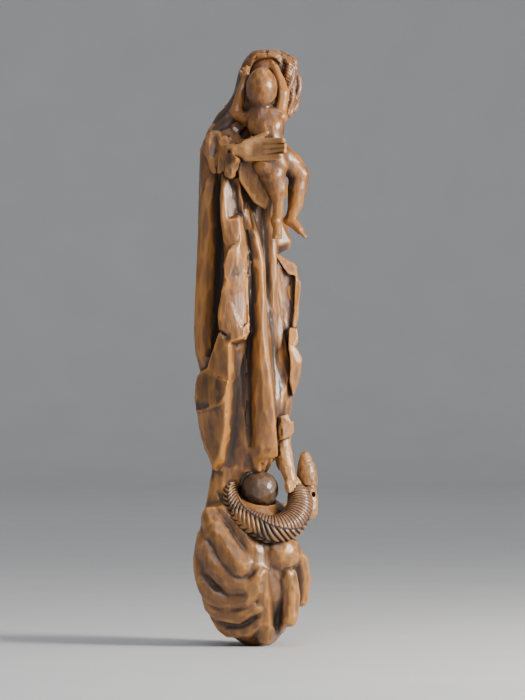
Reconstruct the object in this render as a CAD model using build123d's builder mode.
from build123d import *
import os
from math import copysign, cos, pi, sin

# A carved wooden statue of the Madonna holding the Child. She stands on a small globe with a
# serpent draped round it, on a billowing cloud. The cloud has a flat foot, so the statue stands,
# and its back is flat, with a steel keyhole plate, so it also hangs on a wall.
#
# +Z is up, +Y points back to the wall, and -X is her right-hand side. The origin is the middle
# of the flat foot. Each carved block is a solid of its own, held to its neighbours by dowels.
# All sizes are in millimetres.

# ---- overall sizes -----------------------------------------------------------------------------
cloud_height = 116.0      # top of the cloud, where the robe's block sits on it
robe_height = 299.0       # from the cloud's top to her shoulders
back_y = 40.0             # from the foot's middle back to the flat back
cloud_half_width = 50.0
cloud_front = 38.0        # from the foot's middle forward to the cloud's front
robe_half_width = 42.0
robe_front = 28.0         # from the foot's middle forward to the robe's front

# ---- cloud, globe and serpent ------------------------------------------------------------------
foot_half_width = 26.0    # the flat foot, side to side
foot_half_depth = 18.0    # the flat foot, front to back
globe_radius = 15.0
globe_sink = 5.0          # how deep the globe sits in the cloud
serpent_radius = 10.5
tail_radius = 3.5
snout_radius = 4.0

# ---- robe, head, hand and foot -----------------------------------------------------------------
fold_count = 15           # long folds round the robe
fold_depth = 2.6
cuff_radius = 7.5
skull_radius = 21.0
chin_radius = 13.0
neck_radius = 9.0
hand_thickness = 6.4
palm_length = 17.0
palm_width = 14.0
finger_count = 4
finger_radius = 1.7
finger_pitch = 3.6
finger_length = 15.0
ankle_radius = 7.0
toe_radius = 5.5

# ---- the Child ---------------------------------------------------------------------------------
child_head_radius = 12.4
child_torso_radius = 13.5
child_arm_radius = 5.4
child_hand_radius = 3.6
child_knee_radius = 6.8
child_ankle_radius = 4.2

# ---- fits, dowels and hanging plate ------------------------------------------------------------
bed_gap = 0.1             # glue gap where one carved block is bedded in another
dowel_gap = 0.1           # radial glue gap round a dowel
dowel_end_gap = 0.5       # room past each end of a dowel
long_dowel_radius = 4.0
globe_dowel_radius = 3.0
neck_dowel_radius = 5.0
child_dowel_radius = 2.5
limb_dowel_radius = 2.0
child_arm_dowel_radius = 1.5
dowel_chamfer = 0.4
plate_width = 34.0
plate_height = 20.0
plate_thickness = 1.5
plate_corner = 3.0
plate_drop = 46.0         # from her shoulders down to the keyhole's middle
keyhole_radius = 4.0      # passes a screw's head
keyslot_radius = 2.2      # passes a screw's shank
keyslot_rise = 6.5
head_room = 6.0           # depth of the hollow behind the plate, for the wall screw's head
head_room_radius = 5.0
screw_radius = 1.4
screw_head_radius = 2.6
screw_head_depth = 1.2
screw_length = 12.0
screw_spacing = 25.0
screw_gap = 0.1

# ---- reference points --------------------------------------------------------------------------
shoulder_z = cloud_height + robe_height


def from_shoulders(x, y, rise):
    """A point given by its height above her shoulders."""
    return Vector(x, y, shoulder_z + rise)


def from_cloud(x, y, rise):
    """A point given by its height above the cloud's top."""
    return Vector(x, y, cloud_height + rise)


globe_centre = from_cloud(-8, -6, globe_radius - globe_sink)
head_centre = from_shoulders(2, -3, 41)
face_direction = Vector(-0.87, -0.5, 0)
neck_base = from_shoulders(0, 12, 0)
child_chest = from_shoulders(-28, -28, -3)
child_hips = from_shoulders(-28, -27, -27)
child_head_centre = from_shoulders(-31, -18, 38)
child_left_shoulder = child_chest + Vector(0, 14, 9)
child_right_shoulder = child_chest + Vector(3, -4, 11)
hand_x = child_chest.X - child_torso_radius - 0.15 * hand_thickness
wrist = from_shoulders(hand_x, -8, -17)
palm_middle = wrist + Vector(0, -0.7 * palm_length, 0.5)
ankle = from_cloud(6, -18, 48)
keyhole_middle = Vector(0, back_y, shoulder_z - plate_drop)
plate_plane = Plane(origin=keyhole_middle, x_dir=Vector(1, 0, 0), z_dir=Vector(0, -1, 0))
screw_places = (-0.5 * screw_spacing, 0.5 * screw_spacing)

# ---- routes: each carved limb as (point, radius) stations ---------------------------------------
serpent_route = [  # from its tail behind the globe, over the cloud's front, to its neck
    (globe_centre + Vector(-2, 25, 6), tail_radius),
    (globe_centre + Vector(-20, 20, -10), 0.62 * serpent_radius),
    (globe_centre + Vector(-29, 0, -24), 0.88 * serpent_radius),
    (globe_centre + Vector(-21, -19, -33), serpent_radius),
    (globe_centre + Vector(-5, -30, -29), serpent_radius),
    (globe_centre + Vector(9, -33, -15), serpent_radius),
    (globe_centre + Vector(16, -30, 0), serpent_radius),
    (globe_centre + Vector(23, -32, 9), 0.8 * serpent_radius),
    (globe_centre + Vector(27, -33, 18), 0.72 * serpent_radius),
    (globe_centre + Vector(28, -33, 27), snout_radius),
]
foot_route = [
    (ankle, ankle_radius),
    (ankle + Vector(-1, -5, -16), ankle_radius),
    (ankle + Vector(-1, -9, -29), toe_radius),
]
child_left_arm_route = [
    (child_left_shoulder + Vector(-1, 9, 2), child_arm_radius),
    (child_left_shoulder + Vector(-2, 17, 5), child_arm_radius),
    (head_centre + Vector(-22, 0, 8), child_hand_radius),
]
child_right_arm_route = [
    (child_right_shoulder + Vector(6, 0, 6), child_arm_radius),
    (child_right_shoulder + Vector(11, 2, 20), child_arm_radius),
    (head_centre + Vector(-10, -18, 7), child_hand_radius),
]
child_torso_route = [(child_hips, child_torso_radius), (child_chest, child_torso_radius)]
child_shoulder_route = [(child_left_shoulder, 6.0), (child_right_shoulder, 6.0)]
child_head_route = [
    (child_chest + Vector(0, 3, 8), 8.0),
    (child_head_centre + Vector(0, -1, -9), 0.72 * child_head_radius),
    (child_head_centre + Vector(0, 0, 4), child_head_radius),
]
child_right_leg_route = [
    (child_hips + Vector(2, -8, 0), 9.0),
    (child_hips + Vector(28, -14, -14), child_knee_radius),
    (child_hips + Vector(29, -9, -38), child_ankle_radius),
    (child_hips + Vector(32, -19, -56), 0.8 * child_ankle_radius),
]
child_left_leg_route = [
    (child_hips + Vector(-1, 1, -4), 11.0),
    (child_hips + Vector(1, -4, -17), 9.0),
    (child_hips + Vector(5, -3, -38), child_ankle_radius),
    (child_hips + Vector(7, -8, -56), 0.9 * child_ankle_radius),
]
child_routes = [
    child_torso_route, child_shoulder_route, child_head_route, child_right_leg_route,
    child_left_leg_route,
]
child_arm_routes = [child_left_arm_route, child_right_arm_route]
head_route = [
    (head_centre, skull_radius),
    (head_centre + face_direction * 6 + Vector(0, 0, -13), chin_radius),
]
neck_route = [(neck_base, 1.5 * neck_radius), (head_centre + Vector(0, 2, -16), neck_radius)]
veil_route = [
    (head_centre + Vector(-2, 6, 3), skull_radius),
    (head_centre + Vector(-3, 18, -22), 0.81 * skull_radius),
    (neck_base + Vector(-4, 6, 4), 0.77 * skull_radius),
]
hair_route = [  # loose hair in front of her left shoulder
    (head_centre + Vector(11, -14, 3), 10.0),
    (head_centre + Vector(13, -21, -14), 8.0),
    (head_centre + Vector(12, -21, -27), 4.5),
]
right_sleeve_route = [
    (from_shoulders(-25, 13, -14), 13.5),
    (from_shoulders(-37, 22, -24), 11.5),
    (wrist + Vector(1, 1, 0), cuff_radius),
]
left_sleeve_route = [  # hidden arm that carries the Child, under the mantle
    (from_shoulders(25, 14, -16), 14.0),
    (from_shoulders(28, 4, -46), 12.0),
    (from_shoulders(6, -16, -50), 10.0),
    (child_hips + Vector(4, 4, -16), 8.0),
]
mantle_arm_route = [  # the mantle's bundle under that arm
    (from_shoulders(30, 10, -60), 12.0),
    (from_shoulders(31, 0, -88), 10.0),
    (from_shoulders(18, -22, -106), 6.5),
]

# ---- dowels: middle, direction, length, radius --------------------------------------------------
rear_dowel_place = (Vector(-4, 24, cloud_height), Vector(0, 0, 1), 68.0, long_dowel_radius)
globe_dowel_place = (globe_centre, Vector(0, 0, 1), 4.4 * globe_radius, globe_dowel_radius)
neck_dowel_place = (neck_base, Vector(0, 0, 1), 30.0, neck_dowel_radius)
hand_dowel_place = (wrist + Vector(0, -2, 0), Vector(0, 1, 0), 18.0, limb_dowel_radius)
foot_dowel_place = (ankle + Vector(0, 1, 4), Vector(0, 0.25, 1), 22.0, limb_dowel_radius)
child_dowel_place = (child_hips + Vector(4, 17, 3), Vector(0, 1, 0), 36.0, child_dowel_radius)
left_arm_dowel_place = (
    child_left_shoulder + Vector(-0.5, 5, 1), Vector(-0.1, 1, 0.2), 13.0, child_arm_dowel_radius,
)
right_arm_dowel_place = (
    child_right_shoulder + Vector(3, 0, 3), Vector(1, 0, 1), 11.0, child_arm_dowel_radius,
)


# ---- building blocks ---------------------------------------------------------------------------
on_start = (Align.CENTER, Align.CENTER, Align.MIN)
joint_swell = 1.05        # a limb's joints are this much fatter than the limb beside them


def add_limb(route, grow=0.0, mode=Mode.ADD):
    """Cones along a route with a ball at every joint; grow makes every radius that much larger."""
    for (start, start_radius), (end, end_radius) in zip(route, route[1:]):
        span = end - start
        ends = (start_radius + grow, end_radius + grow)
        with Locations(Plane(origin=start, z_dir=span)):
            if abs(ends[0] - ends[1]) < 0.01:
                Cylinder(ends[0], span.length, align=on_start, mode=mode)
            else:
                Cone(*ends, span.length, align=on_start, mode=mode)
    for point, radius in route:
        with Locations(point):
            Sphere(joint_swell * radius + grow, mode=mode)


def cut_bed(route):
    """The hollow that a limb of another block is glued into."""
    add_limb(route, grow=bed_gap, mode=Mode.SUBTRACT)


def add_hand(grow=0.0, mode=Mode.ADD):
    """Her right hand, laid flat on the Child's side: palm, fingers and thumb."""
    with Locations(palm_middle):
        Box(hand_thickness + 2 * grow, palm_length + 2 * grow, palm_width + 2 * grow, mode=mode)
    for finger in range(finger_count):
        rise = (finger - 0.5 * (finger_count - 1)) * finger_pitch
        knuckle = palm_middle + Vector(0, -0.35 * palm_length, rise)
        fingertip = knuckle + Vector(0.6, -finger_length, -0.4)
        add_limb([(knuckle, 1.05 * finger_radius), (fingertip, 0.9 * finger_radius)], grow, mode)
    thumb_root = palm_middle + Vector(0, 2, 0.36 * palm_width)
    thumb = [(thumb_root, 0.45 * hand_thickness), (thumb_root + Vector(1, -7, 6), 1.2 * finger_radius)]
    add_limb(thumb, grow, mode)


def add_dowel(place, gap=0.0, end_gap=0.0, mode=Mode.ADD):
    """A round dowel centred on its place."""
    middle, direction, length, radius = place
    with Locations(Plane(origin=middle, z_dir=direction)):
        Cylinder(radius + gap, length + 2 * end_gap, mode=mode)


def cut_socket(place):
    """The hole that a dowel is glued into."""
    add_dowel(place, dowel_gap, dowel_end_gap, Mode.SUBTRACT)


def cut_block(low, high):
    """Removes a box, given by two opposite corners, from the part being built."""
    size = high - low
    with Locations(low):
        Box(size.X, size.Y, size.Z, align=(Align.MIN, Align.MIN, Align.MIN), mode=Mode.SUBTRACT)


def cut_back_plane():
    """Planes everything behind the flat back away."""
    cut_block(Vector(-200, back_y, -50), Vector(200, back_y + 200, 900))


# ---- globe, serpent and her foot ----------------------------------------------------------------
with BuildPart() as globe:
    with Locations(globe_centre):
        Sphere(globe_radius)
    cut_socket(globe_dowel_place)

with BuildPart() as serpent:
    add_limb(serpent_route)
    with Locations(globe_centre):
        Sphere(globe_radius + bed_gap, mode=Mode.SUBTRACT)

with BuildPart() as madonna_foot:
    add_limb(foot_route)
    cut_bed(serpent_route)
    cut_socket(foot_dowel_place)

# ---- the Child and her right hand ----------------------------------------------------------------
with BuildPart() as right_hand:
    add_hand()
    cut_socket(hand_dowel_place)

with BuildPart() as child_left_arm:
    add_limb(child_left_arm_route)
    cut_socket(left_arm_dowel_place)

with BuildPart() as child_right_arm:
    add_limb(child_right_arm_route)
    cut_socket(right_arm_dowel_place)

with BuildPart() as child_body:
    for route in child_routes:
        add_limb(route)
    for route in child_arm_routes:
        cut_bed(route)
    add_hand(bed_gap, Mode.SUBTRACT)
    for place in (left_arm_dowel_place, right_arm_dowel_place, child_dowel_place):
        cut_socket(place)

# ---- her head, with neck, hair and veil ----------------------------------------------------------
with BuildPart() as madonna_head:
    for route in (neck_route, head_route, veil_route, hair_route):
        add_limb(route)
    for route in child_arm_routes + child_routes:
        cut_bed(route)
    cut_block(Vector(-200, -200, 0), Vector(200, 200, shoulder_z))
    cut_back_plane()
    cut_socket(neck_dowel_place)

# ---- robe and mantle -----------------------------------------------------------------------------
robe_levels = [  # share of the height; right, left, front and back shares; share of fold depth
    (0.04, 0.62, 0.20, -0.08, 0.95, 0.5),
    (0.08, 0.71, 0.38, 0.43, 1.0, 0.8),
    (0.15, 0.81, 0.67, 0.88, 1.0, 1.0),
    (0.19, 0.85, 0.76, 1.08, 1.0, 1.1),
    (0.25, 0.90, 0.86, 1.12, 1.0, 1.2),
    (0.35, 1.00, 0.95, 1.08, 1.0, 1.2),
    (0.50, 1.07, 0.92, 0.84, 1.0, 1.1),
    (0.70, 1.10, 0.88, 0.58, 1.0, 1.0),
    (0.87, 1.02, 0.90, 0.50, 1.0, 0.9),
    (0.95, 0.86, 0.84, 0.38, 0.95, 0.6),
    (1.00, 0.58, 0.62, 0.12, 0.80, 0.3),
]
robe_middle_y = 10.0
sleeve_fall_profile = [  # the right sleeve's hanging corner, from the side: y, rise
    (23, -20), (-8, -14), (-9, -44), (14, -50), (27, -38),
]
sleeve_fall_thickness = 14.0
mantle_fall_profile = [  # cloth that hangs from the hidden arm, from the side: y, rise
    (0, -94), (-24, -102), (-30, -110), (-29, -172), (-22, -184), (-4, -166),
]
mantle_fall_thickness = 20.0


def robe_outline(right, left, front, back, fold):
    """Points round one level of the robe: round in front, square behind, notched by folds."""
    points = []
    for step in range(2 * fold_count):
        turn = pi * step / fold_count
        across, along = cos(turn), sin(turn)
        squareness = 0.4 if along > 0 else 1.0
        across = copysign(abs(across) ** squareness, across)
        along = copysign(abs(along) ** squareness, along)
        inset = fold if step % 2 else 0.0
        half_x = (left if across > 0 else right) - inset
        half_y = back - robe_middle_y if along > 0 else front + robe_middle_y - inset
        points.append((half_x * across, robe_middle_y + half_y * along))
    return points


def add_hanging_cloth(profile, x, thickness):
    """A flat hanging piece of cloth, drawn from the side."""
    with BuildSketch(Plane.YZ.offset(x)) as side:
        with BuildLine():
            Polyline(*[(y, shoulder_z + rise) for y, rise in profile], close=True)
        make_face()
    extrude(side.sketch, amount=thickness)


with BuildPart() as robe_and_mantle:
    for height, right, left, front, back, fold in robe_levels:
        with BuildSketch(Plane.XY.offset(cloud_height + height * robe_height)):
            with BuildLine():
                outline = robe_outline(right * robe_half_width, left * robe_half_width,
                                       front * robe_front, back * back_y, fold * fold_depth)
                Polyline(*outline, close=True)
            make_face()
    loft(ruled=True)
    with BuildSketch(Plane.XY.offset(cloud_height)):  # the mantle's tail, down to the cloud
        with Locations((-4, 26)):
            Ellipse(17, 13)
    with BuildSketch(Plane.XY.offset(cloud_height + 0.16 * robe_height)):
        with Locations((-3, 24)):
            Ellipse(22, 17)
    loft()
    for route in (right_sleeve_route, left_sleeve_route, mantle_arm_route):
        add_limb(route)
    add_hanging_cloth(sleeve_fall_profile, wrist.X - 4, sleeve_fall_thickness)
    add_hanging_cloth(mantle_fall_profile, 10, mantle_fall_thickness)
    cut_back_plane()
    cut_block(Vector(-200, -200, shoulder_z), Vector(200, 200, shoulder_z + 200))
    with Locations(globe_centre):
        Sphere(globe_radius + bed_gap, mode=Mode.SUBTRACT)
    for route in [serpent_route, foot_route] + child_routes + child_arm_routes:
        cut_bed(route)
    add_hand(bed_gap, Mode.SUBTRACT)
    for place in (rear_dowel_place, globe_dowel_place, neck_dowel_place, hand_dowel_place,
                  foot_dowel_place, child_dowel_place):
        cut_socket(place)
    with BuildSketch(plate_plane):  # pocket for the plate
        RectangleRounded(plate_width + 2 * bed_gap, plate_height + 2 * bed_gap, plate_corner)
    extrude(amount=plate_thickness, mode=Mode.SUBTRACT)
    with BuildSketch(plate_plane):  # hollow behind the keyhole
        with Locations((0, 0.5 * keyslot_rise)):
            SlotOverall(2 * head_room_radius + keyslot_rise, 2 * head_room_radius, rotation=90)
    extrude(amount=plate_thickness + head_room, mode=Mode.SUBTRACT)
    for screw_x in screw_places:
        with Locations(Plane(origin=keyhole_middle + Vector(screw_x, 0, 0), z_dir=Vector(0, -1, 0))):
            Cylinder(screw_radius + screw_gap, screw_length + screw_gap, align=on_start,
                     mode=Mode.SUBTRACT)

# ---- cloud ---------------------------------------------------------------------------------------
cloud_levels = [  # share of the height; half width and depth shares; middle's y
    (0.0, foot_half_width / cloud_half_width, foot_half_depth / cloud_front, 0.0),
    (0.19, 0.88, 0.92, 3.0),
    (0.53, 1.0, 1.14, 6.0),
    (0.84, 0.84, 1.0, 8.0),
    (1.0, 0.56, 0.70, 14.0),
]
cloud_billows = [  # x, y and z as shares of half width, front and height; radius
    (-0.78, 0.24, 0.80, 15.0),
    (-0.72, 0.66, 0.66, 13.0),
    (-0.68, -0.20, 0.56, 14.0),
    (-0.76, 0.22, 0.50, 17.0),
    (-0.64, -0.02, 0.34, 16.0),
    (-0.34, -0.28, 0.20, 17.0),
    (-0.30, -0.50, 0.64, 19.0),
    (0.30, -0.68, 0.46, 14.0),
    (0.06, -0.66, 0.32, 11.0),
    (0.76, 0.20, 0.74, 15.0),
    (0.74, 0.04, 0.48, 16.0),
    (0.52, -0.30, 0.28, 15.0),
]
with BuildPart() as cloud_base:
    for height, width, depth, middle_y in cloud_levels:
        with BuildSketch(Plane.XY.offset(height * cloud_height)):
            with Locations((0, middle_y)):
                Ellipse(width * cloud_half_width, depth * cloud_front)
    loft()
    for x, y, z, radius in cloud_billows:
        with Locations((x * cloud_half_width, y * cloud_front, z * cloud_height)):
            Sphere(radius)
    cut_back_plane()
    with Locations(globe_centre):
        Sphere(globe_radius + bed_gap, mode=Mode.SUBTRACT)
    cut_bed(serpent_route)
    cut_socket(rear_dowel_place)
    cut_socket(globe_dowel_place)

# ---- dowels --------------------------------------------------------------------------------------
dowel_places = {
    "rear_dowel": rear_dowel_place,
    "globe_dowel": globe_dowel_place,
    "neck_dowel": neck_dowel_place,
    "hand_dowel": hand_dowel_place,
    "foot_dowel": foot_dowel_place,
    "child_dowel": child_dowel_place,
    "child_left_arm_dowel": left_arm_dowel_place,
    "child_right_arm_dowel": right_arm_dowel_place,
}
dowels = {}
for name, place in dowel_places.items():
    with BuildPart() as dowel:
        add_dowel(place)
        chamfer(dowel.edges().filter_by(GeomType.CIRCLE), dowel_chamfer)
    dowels[name] = dowel

# ---- keyhole plate and its screws ----------------------------------------------------------------
with BuildPart() as keyhole_plate:
    with BuildSketch(plate_plane):
        RectangleRounded(plate_width, plate_height, plate_corner)
        Circle(keyhole_radius, mode=Mode.SUBTRACT)
        with Locations((0, 0.5 * keyslot_rise)):
            SlotOverall(2 * keyslot_radius + keyslot_rise, 2 * keyslot_radius, rotation=90,
                        mode=Mode.SUBTRACT)
        with Locations(*[(screw_x, 0) for screw_x in screw_places]):
            Circle(screw_radius + screw_gap, mode=Mode.SUBTRACT)
    extrude(amount=plate_thickness)
    for screw_x in screw_places:  # countersinks
        with Locations(Plane(origin=keyhole_middle + Vector(screw_x, 0, 0), z_dir=Vector(0, -1, 0))):
            Cone(screw_head_radius + screw_gap, screw_radius + screw_gap, screw_head_depth,
                 align=on_start, mode=Mode.SUBTRACT)

screws = {}
for name, screw_x in zip(("screw_right", "screw_left"), screw_places):
    with BuildPart(Plane(origin=keyhole_middle + Vector(screw_x, 0, 0), z_dir=Vector(0, -1, 0))) as screw:
        Cone(screw_head_radius, screw_radius, screw_head_depth, align=on_start)
        Cylinder(screw_radius, screw_length, align=on_start)
    screws[name] = screw

# ---- finished pieces -------------------------------------------------------------------------------
pieces = {
    "cloud_base": cloud_base,
    "globe": globe,
    "serpent": serpent,
    "robe_and_mantle": robe_and_mantle,
    "madonna_head": madonna_head,
    "right_hand": right_hand,
    "madonna_foot": madonna_foot,
    "child_body": child_body,
    "child_left_arm": child_left_arm,
    "child_right_arm": child_right_arm,
    "keyhole_plate": keyhole_plate,
}
pieces.update(dowels)
pieces.update(screws)
os.makedirs("parts", exist_ok=True)
for name, piece in pieces.items():
    piece.part.label = name
    export_step(piece.part, f"parts/{name}.step")
